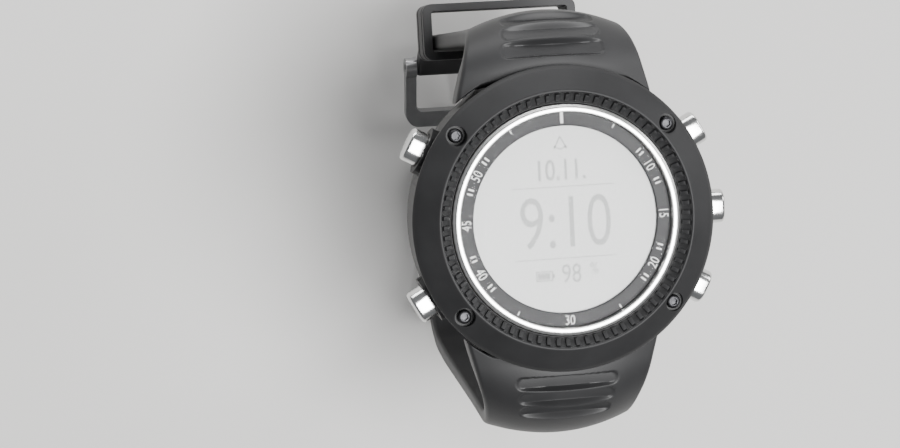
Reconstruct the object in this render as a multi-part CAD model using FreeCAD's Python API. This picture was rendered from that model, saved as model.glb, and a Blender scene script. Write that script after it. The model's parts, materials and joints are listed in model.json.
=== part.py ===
import FreeCAD, Part
import math
import os

# GPS running watch with a moulded two-piece strap, in millimetres.
# Origin: centre of the case back's outer face. +Z points out through the display, +Y to twelve o'clock
# and +X to three o'clock. The strap is unfastened: both halves hang in the curve they are moulded to.

V = FreeCAD.Vector
X_AXIS, Y_AXIS, Z_AXIS = V(1, 0, 0), V(0, 1, 0), V(0, 0, 1)

# ---------------------------------------------------------------- driving dimensions
CASE_R = 24.5            # outer radius of the middle case
BEZEL_R = 25.0           # outer radius of the bezel
RIDGE_R = 20.9           # radius of the bezel's raised ridge
RIDGE_Z = 13.1           # highest point of the head
WINDOW_R = 15.2          # radius of the visible display
LENS_R = 17.5            # radius of the glass
LENS_RING_R = 18.8       # outer radius of the bright ring round the glass
CAVITY_R = 20.0          # inner radius of the middle case
BACK_T = 1.4             # thickness of the back cover
CASE_TOP = 9.6           # joint between middle case and bezel

SCREW_RING_R, SCREW_ANGLE = 22.7, 40.0       # bezel screws: pitch radius, angle from the X axis
BACK_SCREW_RING_R, BACK_SCREW_ANGLE = 21.9, 45.0
BUTTONS = {"start": 29.0, "next": 0.0, "light": -29.0, "back": 151.0, "view": 209.0}
BUTTON_Z = 5.2           # height of every button's axis
BUTTON_REACH = 28.0      # distance of a button's outer face from the watch's axis
BUTTON_W, BUTTON_H = 5.6, 4.2
BUTTON_TRAVEL = 0.8
STEM_R = 1.0
RUN_FIT = 0.03           # radial clearance of a shaft that turns or slides

PIN_Y, PIN_Z, PIN_R = 27.0, 4.56, 0.9        # strap pins, one at each end of the case
ARC_START_Y = 24.0       # where each strap half starts to curve down
CHANNEL_R = 6.15         # room round each pin for the strap's root
LUG_IN, LUG_OUT = 6.5, 9.5                   # each lug stands between these distances from the middle
LUG_GAP = 0.3

CURVES = {"buckle": (6.3, 93.0, 46.0), "hole": (10.5, 98.0, 42.0)}  # arc radius at the root, leg's tilt, leg's length
CORNER_R = 19.0          # arc at the bottom of each strap half
BUCKLE_SIDE_L, HOLE_SIDE_L = 66.0, 102.5     # from the pin to the buckle bar, and to the tip
HUG_R = 25.3             # the strap's root follows the case at this radius
SLOT_PITCH, SLOT_W, SLOT_L, N_SLOTS = 6.0, 2.4, 9.0, 9       # holes for the buckle's tongue
GROOVE_AT, GROOVE_W, GROOVE_D = (-0.65, 1.6, 3.9), 1.8, 1.2    # grooves across each strap half's root
GROOVE_L = 17.0

BAR_R = 0.75             # buckle bar
BUCKLE_TILT = 164.0      # direction of the buckle's frame at rest
KEEPER_AT, KEEPER_L = 44.0, 7.0


# ---------------------------------------------------------------- small helpers
def revolved(outline):
    """A solid of revolution about Z from corners given as (radius, height)."""
    corners = [V(r, 0, z) for r, z in outline]
    face = Part.Face(Part.makePolygon(corners + corners[:1]))
    return face.revolve(V(0, 0, 0), Z_AXIS, 360)


def ring(r_in, r_out, z_low, z_high):
    return revolved([(r_in, z_low), (r_out, z_low), (r_out, z_high), (r_in, z_high)])


def disc(radius, z_low, z_high, x=0.0, y=0.0):
    return Part.makeCylinder(radius, z_high - z_low, V(x, y, z_low))


def block(x_size, y_size, z_low, z_high, x=0.0, y=0.0):
    return Part.makeBox(x_size, y_size, z_high - z_low, V(x - x_size / 2, y - y_size / 2, z_low))


def turned(shape, degrees):
    """A copy turned about the watch's own axis."""
    copy = shape.copy()
    copy.rotate(V(0, 0, 0), Z_AXIS, degrees)
    return copy


def cut_all(shape, tools):
    for tool in tools:
        shape = shape.cut(tool)
    return shape


def along_x(radius, y, z, half_length):
    """A cylinder on an axis parallel to X."""
    return Part.makeCylinder(radius, 2 * half_length, V(-half_length, y, z), X_AXIS)


def radial_rod(radius, r_from, r_to):
    """A cylinder pointing out along +X at the buttons' height."""
    return Part.makeCylinder(radius, r_to - r_from, V(r_from, 0, BUTTON_Z), X_AXIS)


def radial_tube(r_in, r_out, r_from, r_to):
    return radial_rod(r_out, r_from, r_to).cut(radial_rod(r_in, r_from, r_to))


def oblong(width, height, r_from, r_to):
    """A block pointing out along +X with rounded ends, at the buttons' height."""
    end_r = height / 2
    straight = width / 2 - end_r
    body = Part.makeBox(r_to - r_from, 2 * straight, height, V(r_from, -straight, BUTTON_Z - end_r))
    for side in (-straight, straight):
        body = body.fuse(Part.makeCylinder(end_r, r_to - r_from, V(r_from, side, BUTTON_Z), X_AXIS))
    return body.removeSplitter()


def four_corners(angle):
    return (angle, 180 - angle, 180 + angle, -angle)


def compound(shapes):
    return Part.makeCompound(shapes)


# ---------------------------------------------------------------- head: shells and glass
def bezel():
    """Ring with a notch-free inner bevel, a ridge, and a cone that falls to the outer edge."""
    body = revolved([
        (LENS_RING_R + 0.15, CASE_TOP),
        (BEZEL_R - 0.2, CASE_TOP),
        (BEZEL_R, CASE_TOP + 0.3),
        (BEZEL_R, 10.5),
        (BEZEL_R - 0.35, 10.95),
        (RIDGE_R + 0.3, RIDGE_Z - 0.05),
        (RIDGE_R, RIDGE_Z),
        (RIDGE_R - 0.25, RIDGE_Z - 0.1),
        (LENS_RING_R + 0.15, 12.0),
    ])
    recess = disc(1.6, 10.5, RIDGE_Z + 1, SCREW_RING_R)
    hole = disc(0.8, CASE_TOP - 1, 11.0, SCREW_RING_R)
    return cut_all(body, [turned(t, a) for a in four_corners(SCREW_ANGLE) for t in (recess, hole)])


def bezel_screws():
    """Four domed socket screws that hold the bezel on the middle case."""
    head = revolved([(0, 10.5), (1.15, 10.5), (1.15, 11.2), (0.85, 11.5), (0, 11.5)])
    shank = disc(0.7, 6.2, 10.5)
    socket = Part.makePolygon([V(0.6 * math.cos(a), 0.6 * math.sin(a), 11.0)
                               for a in (math.radians(60 * k) for k in range(7))])
    screw = head.fuse(shank).removeSplitter().cut(Part.Face(socket).extrude(V(0, 0, 1)))
    screw.translate(V(SCREW_RING_R, 0, 0))
    return compound([turned(screw, a) for a in four_corners(SCREW_ANGLE)])


def lens():
    return revolved([(0, 11.25), (LENS_R - 0.05, 11.25), (LENS_R - 0.05, 12.2), (LENS_R - 0.35, 12.45), (0, 12.45)])


def lens_ring():
    """Bright ring: holds the glass down on the dial ring and stands a little proud of it."""
    return revolved([
        (LENS_R, 10.05), (LENS_RING_R, 10.05), (LENS_RING_R, 12.3), (LENS_RING_R - 0.45, 12.8),
        (LENS_R + 0.3, 12.8), (LENS_R, 12.55),
    ])


def lens_gasket():
    return ring(18.1, 18.7, CASE_TOP, 10.05)


def dial_ring():
    return ring(WINDOW_R, LENS_R - 0.05, 10.85, 11.25)


def lcd_panel():
    return disc(16.7, 9.3, 10.7)


def backlight():
    return disc(16.7, 8.5, 9.25)


def module_frame():
    """Carrier that holds the display, its light guide and the board together."""
    body = ring(16.8, 17.45, 7.2, 10.85)
    feet = [turned(block(1.2, 2.4, 6.8, 7.2, 16.8), a) for a in (60, 120, 240, 300)]
    for foot in feet:
        body = body.fuse(foot)
    return body.removeSplitter()


def middle_case():
    """Round tube that everything fastens to, with button bores, strap channels and lugs."""
    body = revolved([
        (CAVITY_R, BACK_T), (CASE_R - 0.4, BACK_T), (CASE_R, 2.2), (CASE_R, 8.8), (CASE_R + 0.2, CASE_TOP),
        (18.0, CASE_TOP), (18.0, 8.6), (CAVITY_R, 8.6),
    ])
    for angle in BUTTONS.values():
        body = body.fuse(turned(oblong(BUTTON_W + 2.4, BUTTON_H + 2.2, 22.0, 25.2), angle))
    body = cut_all(body, [along_x(CHANNEL_R, side * PIN_Y, PIN_Z, 17.0) for side in (1, -1)])
    body = body.cut(disc(CAVITY_R, BACK_T - 1, 8.6))
    for side in (0, 180):
        for x in (LUG_IN, -LUG_OUT):
            body = body.fuse(turned(lug(x), side))
    body = body.removeSplitter()
    cuts = [ring(20.15, 21.05, BACK_T - 0.1, 2.15)]
    cuts += [turned(disc(0.72, 6.0, CASE_TOP + 1, SCREW_RING_R), a) for a in four_corners(SCREW_ANGLE)]
    cuts += [turned(disc(0.62, 0.0, 4.6, BACK_SCREW_RING_R), a) for a in four_corners(BACK_SCREW_ANGLE)]
    cuts += [along_x(PIN_R + 0.02, side * PIN_Y, PIN_Z, 17.0) for side in (1, -1)]
    for angle in BUTTONS.values():
        bore = radial_rod(STEM_R + RUN_FIT, 19.0, 23.2)
        seal_seat = radial_rod(1.5, 21.5, 23.2)
        spring_seat = radial_rod(2.0, 22.3, 23.2)
        pocket = oblong(BUTTON_W + 0.4, BUTTON_H + 0.4, 23.0, 26.0)
        cuts += [turned(t, angle) for t in (bore, seal_seat, spring_seat, pocket)]
    return cut_all(body, cuts)


def lug(x_start):
    """One lug: an arm from the case's lower edge up to a round eye on the strap pin."""
    width = LUG_OUT - LUG_IN
    eye = Part.makeCylinder(1.9, width, V(x_start, PIN_Y, PIN_Z), X_AXIS)
    arm = Part.makePolygon([V(x_start, y, z) for y, z in (
        (20.6, BACK_T), (24.0, BACK_T), (PIN_Y + 1.1, PIN_Z - 1.55), (PIN_Y - 1.2, PIN_Z + 1.47),
        (22.0, 3.4), (20.6, 3.4), (20.6, BACK_T))])
    return eye.fuse(Part.Face(arm).extrude(V(width, 0, 0)))


def back_cover():
    """Plate with a locating rim, four counterbored screw holes and four contact holes."""
    body = revolved([
        (0, 0), (23.4, 0), (24.0, 0.6), (24.0, BACK_T), (19.8, BACK_T), (19.8, 2.4), (19.0, 2.4),
        (19.0, BACK_T), (0, BACK_T),
    ])
    cuts = []
    for angle in four_corners(BACK_SCREW_ANGLE):
        cuts.append(turned(disc(1.2, -1.0, 0.8, BACK_SCREW_RING_R), angle))
        cuts.append(turned(disc(0.65, 0.0, 2.0, BACK_SCREW_RING_R), angle))
    cuts += [disc(0.92, -1.0, 3.0, x, y) for x, y in contact_places()]
    return cut_all(body, cuts)


def back_gasket():
    return ring(20.2, 21.0, BACK_T, 2.1)


def back_screws():
    head = disc(1.1, 0.1, 0.8)
    slot = block(1.6, 0.35, 0.0, 0.45)
    screw = head.fuse(disc(0.6, 0.8, 4.4)).removeSplitter().cut(slot)
    screw.translate(V(BACK_SCREW_RING_R, 0, 0))
    return compound([turned(screw, a) for a in four_corners(BACK_SCREW_ANGLE)])


# ---------------------------------------------------------------- head: electronics
def contact_places():
    """Centres of the four charging contacts, in a row beside nine o'clock."""
    return [(-15.0, -4.8 + 3.2 * k) for k in range(4)]


def charge_contacts():
    return compound([disc(0.9, 0.15, 2.6, x, y) for x, y in contact_places()])


def main_board():
    body = disc(18.0, 6.0, 6.8)
    return body.cut(block(8, 3, 5.5, 7.5, 0, 17.6))


def board_chips():
    """Receiver can, processor, memory, compass and motion sensor on top of the board."""
    places = ((-6.5, 5, 9, 7, 1.2), (5.5, 4, 7, 7, 0.9), (6.5, -5.5, 5, 4, 0.8), (-4, -6, 3, 3, 0.8), (-10, -5, 2.5, 2, 0.8))
    return compound([block(w, d, 6.8, 6.8 + h, x, y) for x, y, w, d, h in places])


def side_switches():
    """One switch under the board's edge behind each button's stem."""
    case = Part.makeBox(2.4, 3.4, 1.6, V(14.8, -1.7, 4.4))
    plunger = radial_rod(0.6, 17.2, 17.95)
    return compound([turned(case.fuse(plunger), a) for a in BUTTONS.values()])


def battery():
    body = block(24.0, 21.0, 1.9, 5.6)
    return body.makeFillet(1.4, [e for e in body.Edges if abs(e.tangentAt(e.FirstParameter).x) > 0.9])


def gps_antenna():
    """Ceramic patch under the board at twelve o'clock, with its feed pin."""
    return block(12.0, 4.6, 2.4, 5.6, 0, 14.2).fuse(disc(0.4, 5.6, 6.0, 0, 14.2))


def buzzer():
    return disc(3.4, BACK_T, 2.1, 0, -14.8)


def display_flex():
    """Flat ribbon from under the light guide, through the board's notch, to the board's underside."""
    outline = Part.makePolygon([V(-3, y, z) for y, z in (
        (13.5, 8.35), (16.35, 8.35), (16.35, 5.95), (15.0, 5.95), (15.0, 5.8), (16.5, 5.8), (16.5, 8.5),
        (13.5, 8.5), (13.5, 8.35))])
    return Part.Face(outline).extrude(V(6, 0, 0))


# ---------------------------------------------------------------- buttons
def button():
    """Metal cap on a stem with a groove for its retaining clip, pointing out along +X."""
    cap = oblong(BUTTON_W, BUTTON_H, 24.0, BUTTON_REACH)
    outer_rim = [e for e in cap.Edges if all(abs(v.X - BUTTON_REACH) < 1e-6 for v in e.Vertexes)]
    cap = cap.makeFillet(0.6, outer_rim)
    stem = radial_rod(STEM_R, 18.85, 24.0)
    return cap.fuse(stem).removeSplitter().cut(radial_tube(0.8, 1.2, 19.4, 19.8))


def clip():
    """Split ring in the stem's groove, which stops the button from coming out."""
    return radial_tube(0.82, 1.7, 19.45, 19.75).cut(Part.makeBox(0.5, 1.0, 2.2, V(19.35, -0.5, BUTTON_Z - 2.2)))


def button_spring():
    """Coil of three turns between the case and the cap, of flat-sided wire."""
    wire_r, coil_r = 0.12, 1.74
    length = 24.0 - 22.3 - 2 * wire_r - 0.04
    helix = Part.makeHelix(length / 3, length, coil_r)
    corners = [V(coil_r + x * wire_r, 0, z * wire_r) for x, z in ((-1, -1), (1, -1), (1, 1), (-1, 1), (-1, -1))]
    coil = Part.Wire(helix).makePipeShell([Part.makePolygon(corners)], True, True)
    coil.rotate(V(0, 0, 0), Y_AXIS, 90)
    coil.translate(V(22.32 + wire_r, 0, BUTTON_Z))
    return coil


def button_seals():
    return compound([turned(radial_tube(STEM_R + 0.04, 1.48, 21.55, 22.25), a) for a in BUTTONS.values()])


# ---------------------------------------------------------------- strap
def strap_place(s, side):
    """Position (y, z) and direction of a strap half's curve at distance s from its pin, drawn towards +Y.
    Direction 0 points out along +Y and 90 points down. The curve is a line over the case, a tight arc round
    the root, a straight leg, a wide arc at the bottom, and a line that lies flat."""
    root_r, leg_tilt, leg_l = CURVES[side]
    start = root_tilt(side)
    y, z, tilt = ARC_START_Y, PIN_Z + root_r * (1 - math.cos(start)), 0.0
    s += root_r * start
    if s <= 0:
        return y + s, z, 0.0
    for kind, length in (("root", root_r * math.radians(leg_tilt)), ("leg", leg_l),
                         ("corner", CORNER_R * math.radians(180 - leg_tilt)), ("flat", math.inf)):
        run = min(s, length)
        radius = {"root": root_r, "corner": CORNER_R}.get(kind)
        if radius:
            end = tilt + run / radius
            y += radius * (math.sin(end) - math.sin(tilt))
            z -= radius * (math.cos(tilt) - math.cos(end))
            tilt = end
        else:
            y += run * math.cos(tilt)
            z -= run * math.sin(tilt)
        s -= run
        if s <= 0:
            break
    return y, z, math.degrees(tilt)


def root_tilt(side):
    """Angle already turned by the root's arc where it passes the pin."""
    return math.asin((PIN_Y - ARC_START_Y) / CURVES[side][0])


def strap_size(s, side):
    """Width, thickness inside and outside the curve, and crown, at distance s from the pin."""
    table = [(-12, 33.8, 2.6, 3.8, 2.4), (-7.5, 32.6, 2.6, 3.8, 2.5), (0, 28.6, 2.6, 3.7, 2.8),
             (4.5, 26.2, 2.1, 3.6, 3.0), (9, 24.9, 1.8, 3.4, 2.8), (15, 24.3, 1.6, 2.7, 2.1), (25, 24, 1.5, 1.9, 1.1),
             (50, 24, 1.5, 1.7, 0.5)]
    if side == "hole":
        table += [(77, 22, 1.4, 1.6, 0.0), (200, 22, 1.4, 1.6, 0.0)]
    else:
        table += [(BUCKLE_SIDE_L, 22.8, 1.6, 1.6, 0.0)]
    for (s0, *low), (s1, *high) in zip(table, table[1:]):
        if s <= s1:
            part = (s - s0) / (s1 - s0)
            size = [a + (b - a) * part for a, b in zip(low, high)]
            break
    tip = HOLE_SIDE_L - 9.0
    if side == "hole" and s > tip:
        size[0] *= math.sqrt(max(0.0, 1 - ((s - tip) / 9.2) ** 2))
    return size


def strap_section(s, side):
    """Closed outline across the strap: flat inside, crowned outside, corners rounded inside."""
    y, z, tilt = strap_place(s, side)
    width, inner, outer, crown = strap_size(s, side)
    lean_y, lean_z = math.sin(math.radians(tilt)), math.cos(math.radians(tilt))
    corner = min(0.8, inner * 0.5, width * 0.2)

    def at(across, up):
        return V(across, y + up * lean_y, z + up * lean_z)

    half, shoulder = width / 2, outer - crown
    cut_back = corner * (1 - math.sqrt(0.5))
    edges = [
        Part.LineSegment(at(-half + corner, -inner), at(half - corner, -inner)),
        Part.Arc(at(half - corner, -inner), at(half - cut_back, -inner + cut_back), at(half, -inner + corner)),
        Part.LineSegment(at(half, -inner + corner), at(half, shoulder)),
        Part.LineSegment(at(half, shoulder), at(-half, shoulder)) if crown < 0.05
        else Part.Arc(at(half, shoulder), at(0, outer), at(-half, shoulder)),
        Part.LineSegment(at(-half, shoulder), at(-half, -inner + corner)),
        Part.Arc(at(-half, -inner + corner), at(-half + cut_back, -inner + cut_back), at(-half + corner, -inner)),
    ]
    return Part.Wire([e.toShape() for e in edges])


def strap_stations(last, side):
    """Distances at which the strap's outline is drawn: close together in arcs, sparse on lines."""
    root_r, leg_tilt, leg_l = CURVES[side]
    root_start = -root_r * root_tilt(side)
    root_end = root_start + root_r * math.radians(leg_tilt)
    leg_end = root_end + leg_l
    corner_end = leg_end + CORNER_R * math.radians(180 - leg_tilt)
    found = [-11.5, -7.5, -5.5] + [root_start + (root_end - root_start) * k / 10 for k in range(11)]
    found += [15.0 if root_end < 14 else 18.0, 25.0, 38.0, leg_end]
    steps = 14
    found += [leg_end + (corner_end - leg_end) * (k + 1) / steps for k in range(steps)]
    if side == "hole":
        tip = HOLE_SIDE_L - 9.0
        found += [tip] + [tip + 9.0 * math.sin(math.radians(15 * k)) for k in range(1, 7)]
    return sorted({round(s, 4) for s in found if s < last - 0.3} | {last})


def strap_body(last, side):
    return Part.makeLoft([strap_section(s, side) for s in strap_stations(last, side)], True, True)


def laid(shape, s, side, tilt=None):
    """Moves a shape drawn with +Y along the strap and +Z out of it to distance s from the pin."""
    y, z, own_tilt = strap_place(s, side)
    copy = shape.copy()
    copy.rotate(V(0, 0, 0), X_AXIS, -(own_tilt if tilt is None else tilt))
    copy.translate(V(0, y, z))
    return copy


def slot_tool(length, width, low, high):
    """A slot's prism across the strap, with round ends."""
    half = (length - width) / 2
    body = block(2 * half, width, low, high)
    for x in (-half, half):
        body = body.fuse(disc(width / 2, low, high, x))
    return body.removeSplitter()


def root_cuts(side):
    """Tools that shape the strap's root: the case's round side, the lug pockets and the pin's bore."""
    pocket_side = [(0.35, 2.15), (-9.0, 4.0), (-9.0, -9.0), (-4.4, -9.0), (0.9, -2.0)]
    cuts = [disc(HUG_R, -20, 20)]
    for x in (LUG_IN - LUG_GAP, -LUG_OUT - LUG_GAP):
        width = LUG_OUT - LUG_IN + 2 * LUG_GAP
        corners = [V(x, PIN_Y + y, PIN_Z + z) for y, z in pocket_side]
        cuts.append(Part.Face(Part.makePolygon(corners + corners[:1])).extrude(V(width, 0, 0)))
        cuts.append(Part.makeCylinder(2.15, width, V(x, PIN_Y, PIN_Z), X_AXIS))
    cuts.append(along_x(PIN_R + RUN_FIT, PIN_Y, PIN_Z, 12.7))
    for k, s in enumerate(GROOVE_AT):
        outer = strap_size(s, side)[2]
        cuts.append(laid(slot_tool(GROOVE_L - 0.8 * k, GROOVE_W, outer - GROOVE_D, outer + 3), s, side))
    return cuts


def strap_buckle_side():
    """Twelve o'clock half: ends in a knuckle that the buckle's bar runs through."""
    end_y, end_z, _ = strap_place(BUCKLE_SIDE_L, "buckle")
    body = strap_body(BUCKLE_SIDE_L, "buckle").fuse(along_x(1.6, end_y, end_z, 11.4))
    body = cut_all(body, root_cuts("buckle"))
    tongue_notch = laid(block(5.2, 8.0, -4, 4, 0, 1.2), BUCKLE_SIDE_L, "buckle")
    return body.cut(along_x(BAR_R + RUN_FIT, end_y, end_z, 14)).cut(tongue_notch)


def strap_hole_side():
    """Six o'clock half, drawn on the twelve o'clock side and turned round: slots for the tongue, round tip."""
    body = cut_all(strap_body(HOLE_SIDE_L, "hole"), root_cuts("hole"))
    first = HOLE_SIDE_L - 9.0 - SLOT_PITCH * (N_SLOTS - 1)
    for k in range(N_SLOTS):
        body = body.cut(laid(slot_tool(SLOT_L, SLOT_W, -5, 5), first + SLOT_PITCH * k, "hole"))
    return turned(body, 180)


def strap_pins():
    return compound([along_x(PIN_R, side * PIN_Y, PIN_Z, 12.5) for side in (1, -1)])


# ---------------------------------------------------------------- buckle and keeper
def on_bar(shape):
    """Moves a shape drawn about the buckle bar, +Y towards the cross-bar, to the end of the strap."""
    return laid(shape, BUCKLE_SIDE_L, "buckle", BUCKLE_TILT)


def buckle_frame():
    """U-shaped frame: two arms on the bar and a cross-bar that the tongue rests on."""
    outer = block(27.4, 13.4, -1.1, 1.1, 0, 4.8)
    outer = outer.makeFillet(2.6, [e for e in outer.Edges
                                   if abs(e.tangentAt(e.FirstParameter).z) > 0.9 and e.BoundBox.YMin > 5])
    window = block(23.4, 11.0, -2, 2, 0, 3.0)
    ears = [Part.makeCylinder(1.9, 2.0, V(x, 0, 0), X_AXIS) for x in (-13.7, 11.7)]
    body = cut_all(outer, [window])
    for ear in ears:
        body = body.fuse(ear)
    body = body.removeSplitter().cut(Part.makeCylinder(BAR_R + 0.02, 40, V(-20, 0, 0), X_AXIS))
    return on_bar(body)


def buckle_bar():
    return on_bar(Part.makeCylinder(BAR_R, 26.8, V(-13.4, 0, 0), X_AXIS))


def buckle_tongue():
    """Flat tongue on the bar; its tip lies over the frame's cross-bar."""
    side = [(0.0, 1.45), (2.6, 2.2), (12.3, 2.2), (12.9, 1.75), (12.6, 1.15), (3.0, 1.15), (1.3, 0.2), (0.0, 0.9)]
    corners = [V(-2.3, y, z) for y, z in side]
    blade = Part.Face(Part.makePolygon(corners + corners[:1])).extrude(V(4.6, 0, 0))
    knuckle = Part.makeCylinder(1.5, 4.6, V(-2.3, 0, 0), X_AXIS)
    bore = Part.makeCylinder(BAR_R + RUN_FIT, 6, V(-3, 0, 0), X_AXIS)
    return on_bar(knuckle.fuse(blade).removeSplitter().cut(bore))


def keeper():
    """Free loop round the strap, with room above it for the strap's tip."""
    low, high = -2.0, 5.2
    inside = block(24.7, KEEPER_L + 2, low, high)
    outside = block(27.9, KEEPER_L, low - 1.4, high + 1.4)
    outside = outside.makeFillet(1.3, [e for e in outside.Edges if abs(e.tangentAt(e.FirstParameter).y) > 0.9])
    return laid(outside.cut(inside), KEEPER_AT, "buckle")


# ---------------------------------------------------------------- all parts
def parts():
    found = {
        "bezel": bezel(), "bezel_screws": bezel_screws(), "lens": lens(), "lens_ring": lens_ring(),
        "lens_gasket": lens_gasket(), "dial_ring": dial_ring(), "lcd_panel": lcd_panel(), "backlight": backlight(),
        "module_frame": module_frame(), "middle_case": middle_case(), "back_cover": back_cover(),
        "back_gasket": back_gasket(), "back_screws": back_screws(), "charge_contacts": charge_contacts(),
        "main_board": main_board(), "board_chips": board_chips(), "side_switches": side_switches(),
        "battery": battery(), "gps_antenna": gps_antenna(), "buzzer": buzzer(), "display_flex": display_flex(),
        "button_seals": button_seals(), "strap_pins": strap_pins(), "strap_buckle_side": strap_buckle_side(),
        "strap_hole_side": strap_hole_side(), "buckle_frame": buckle_frame(), "buckle_bar": buckle_bar(),
        "buckle_tongue": buckle_tongue(), "keeper": keeper(),
    }
    for name, angle in BUTTONS.items():
        found[name + "_button"] = turned(button(), angle)
        found[name + "_clip"] = turned(clip(), angle)
        found[name + "_spring"] = turned(button_spring(), angle)
    return found


os.makedirs("parts", exist_ok=True)
for node, shape in parts().items():
    shape.exportStep("parts/%s.step" % node)
    print("%-18s solids %d valid %s volume %.2f" % (node, len(shape.Solids), shape.isValid(), shape.Volume))
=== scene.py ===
import json
import math

import bpy
from mathutils import Matrix, Vector


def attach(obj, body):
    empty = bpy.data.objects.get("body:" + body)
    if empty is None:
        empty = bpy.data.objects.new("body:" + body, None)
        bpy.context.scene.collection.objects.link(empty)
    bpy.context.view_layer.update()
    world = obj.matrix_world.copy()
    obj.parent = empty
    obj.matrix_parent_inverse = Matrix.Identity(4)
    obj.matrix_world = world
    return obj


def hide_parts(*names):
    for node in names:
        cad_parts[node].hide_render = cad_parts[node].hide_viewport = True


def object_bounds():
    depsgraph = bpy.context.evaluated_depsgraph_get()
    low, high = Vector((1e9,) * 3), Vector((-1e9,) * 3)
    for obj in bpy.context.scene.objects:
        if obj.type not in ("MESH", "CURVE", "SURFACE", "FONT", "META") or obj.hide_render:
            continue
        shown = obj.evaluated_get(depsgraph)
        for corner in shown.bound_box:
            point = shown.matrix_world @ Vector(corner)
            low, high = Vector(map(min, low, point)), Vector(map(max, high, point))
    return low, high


# A GPS running watch on its moulded strap, standing face up. Lengths inside the helpers are in millimetres.

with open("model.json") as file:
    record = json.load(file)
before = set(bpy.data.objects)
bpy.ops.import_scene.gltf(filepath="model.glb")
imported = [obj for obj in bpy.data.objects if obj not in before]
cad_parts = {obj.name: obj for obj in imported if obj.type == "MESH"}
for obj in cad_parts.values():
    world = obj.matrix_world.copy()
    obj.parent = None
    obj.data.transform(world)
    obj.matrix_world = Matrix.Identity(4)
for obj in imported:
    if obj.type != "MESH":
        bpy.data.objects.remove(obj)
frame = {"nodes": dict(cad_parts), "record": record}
cad_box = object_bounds()
NODES = frame["nodes"]
MM = 0.001

# Angles are counted from three o'clock towards twelve, circles are radii about the watch's axis.
BUTTON_ANGLES = {"start": 29.0, "next": 0.0, "light": -29.0, "back": 151.0, "view": 209.0}
BUTTON_HEIGHT = 5.2
SCREW_ANGLES = (40.0, 140.0, 220.0, 320.0)
SCREW_CIRCLE = 22.7
BACK_SCREW_ANGLES = (45, 135, 225, 315)
BACK_SCREW_CIRCLE = 21.9
CONTACTS = [(-15.0, -4.8 + 3.2 * k) for k in range(4)]
TEETH = 78
FIGURE_CIRCLE = 16.35
FIGURE_SIZE = 1.6
DIAL_PRINT_HEIGHT = 11.262
SEGMENT_HEIGHT = 10.712
INK_THICKNESS = 0.008
FONT_PER_FIGURE_HEIGHT = 1.4
# The pins' axis beside the case, and the circle that the strap's root hugs.
PIN_Y, PIN_Z = 27.0, 4.56
HUG_RADIUS = 25.3


# ------------------------------------------------------------------ hand-modelling helpers
def deselect():
    bpy.ops.object.select_all(action="DESELECT")


def pick(obj, *others):
    """Makes obj the active object and selects only it and the others."""
    deselect()
    for o in (obj, *others):
        o.select_set(True)
    bpy.context.view_layer.objects.active = obj


def settle(obj):
    """Puts the object's place into its mesh."""
    pick(obj)
    bpy.ops.object.transform_apply(location=True, rotation=True, scale=True)


def named(name, slot, body, *stands_for):
    """Finishes the active object: name, place in its mesh, body, and the CAD nodes it stands for; slot is not
    used.
    """
    obj = bpy.context.object
    obj.name = name
    obj.data.name = name
    settle(obj)
    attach(obj, body)
    if stands_for:
        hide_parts(*stands_for)


def smooth(obj, degrees=35):
    """Smooth shading that keeps edges sharper than the angle."""
    pick(obj)
    bpy.ops.object.shade_smooth_by_angle(angle=math.radians(degrees))


def modify(obj, kind, **settings):
    """Adds one modifier with its settings and applies it."""
    pick(obj)
    modifier = obj.modifiers.new(kind.lower(), kind)
    for key, value in settings.items():
        setattr(modifier, key, value)
    bpy.ops.object.modifier_apply(modifier=modifier.name)


def soften(obj, width, segments=2, angle=35):
    """Rounds every edge sharper than the angle, as a mould or a tumbler does."""
    modify(obj, "BEVEL", width=width * MM, segments=segments, limit_method="ANGLE",
           angle_limit=math.radians(angle), harden_normals=False, use_clamp_overlap=True)


def flatten(obj, degrees=30):
    """Smooth shading that keeps broad faces flat between their rounded edges."""
    smooth(obj, degrees)
    modify(obj, "WEIGHTED_NORMAL", weight=90, keep_sharp=True)


def carve(obj, *cutters, operation="DIFFERENCE", solver="EXACT"):
    """Cuts the cutters out of obj, or joins them to it, and removes them."""
    for cutter in cutters:
        modify(obj, "BOOLEAN", object=cutter, operation=operation, solver=solver)
        bpy.data.objects.remove(cutter)


def round_along(obj, axis, radius):
    """Rounds a block's edges that run along one axis."""
    pick(obj)
    bpy.ops.object.mode_set(mode="EDIT")
    bpy.ops.mesh.select_mode(type="EDGE")
    bpy.ops.mesh.select_all(action="DESELECT")
    bpy.ops.object.mode_set(mode="OBJECT")
    for edge in obj.data.edges:
        a, b = (obj.data.vertices[i].co for i in edge.vertices)
        edge.select = abs((a - b)[axis]) > 0.5 * MM
    bpy.ops.object.mode_set(mode="EDIT")
    bpy.ops.mesh.bevel(offset=radius * MM, segments=10, profile=0.5)
    bpy.ops.object.mode_set(mode="OBJECT")


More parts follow.
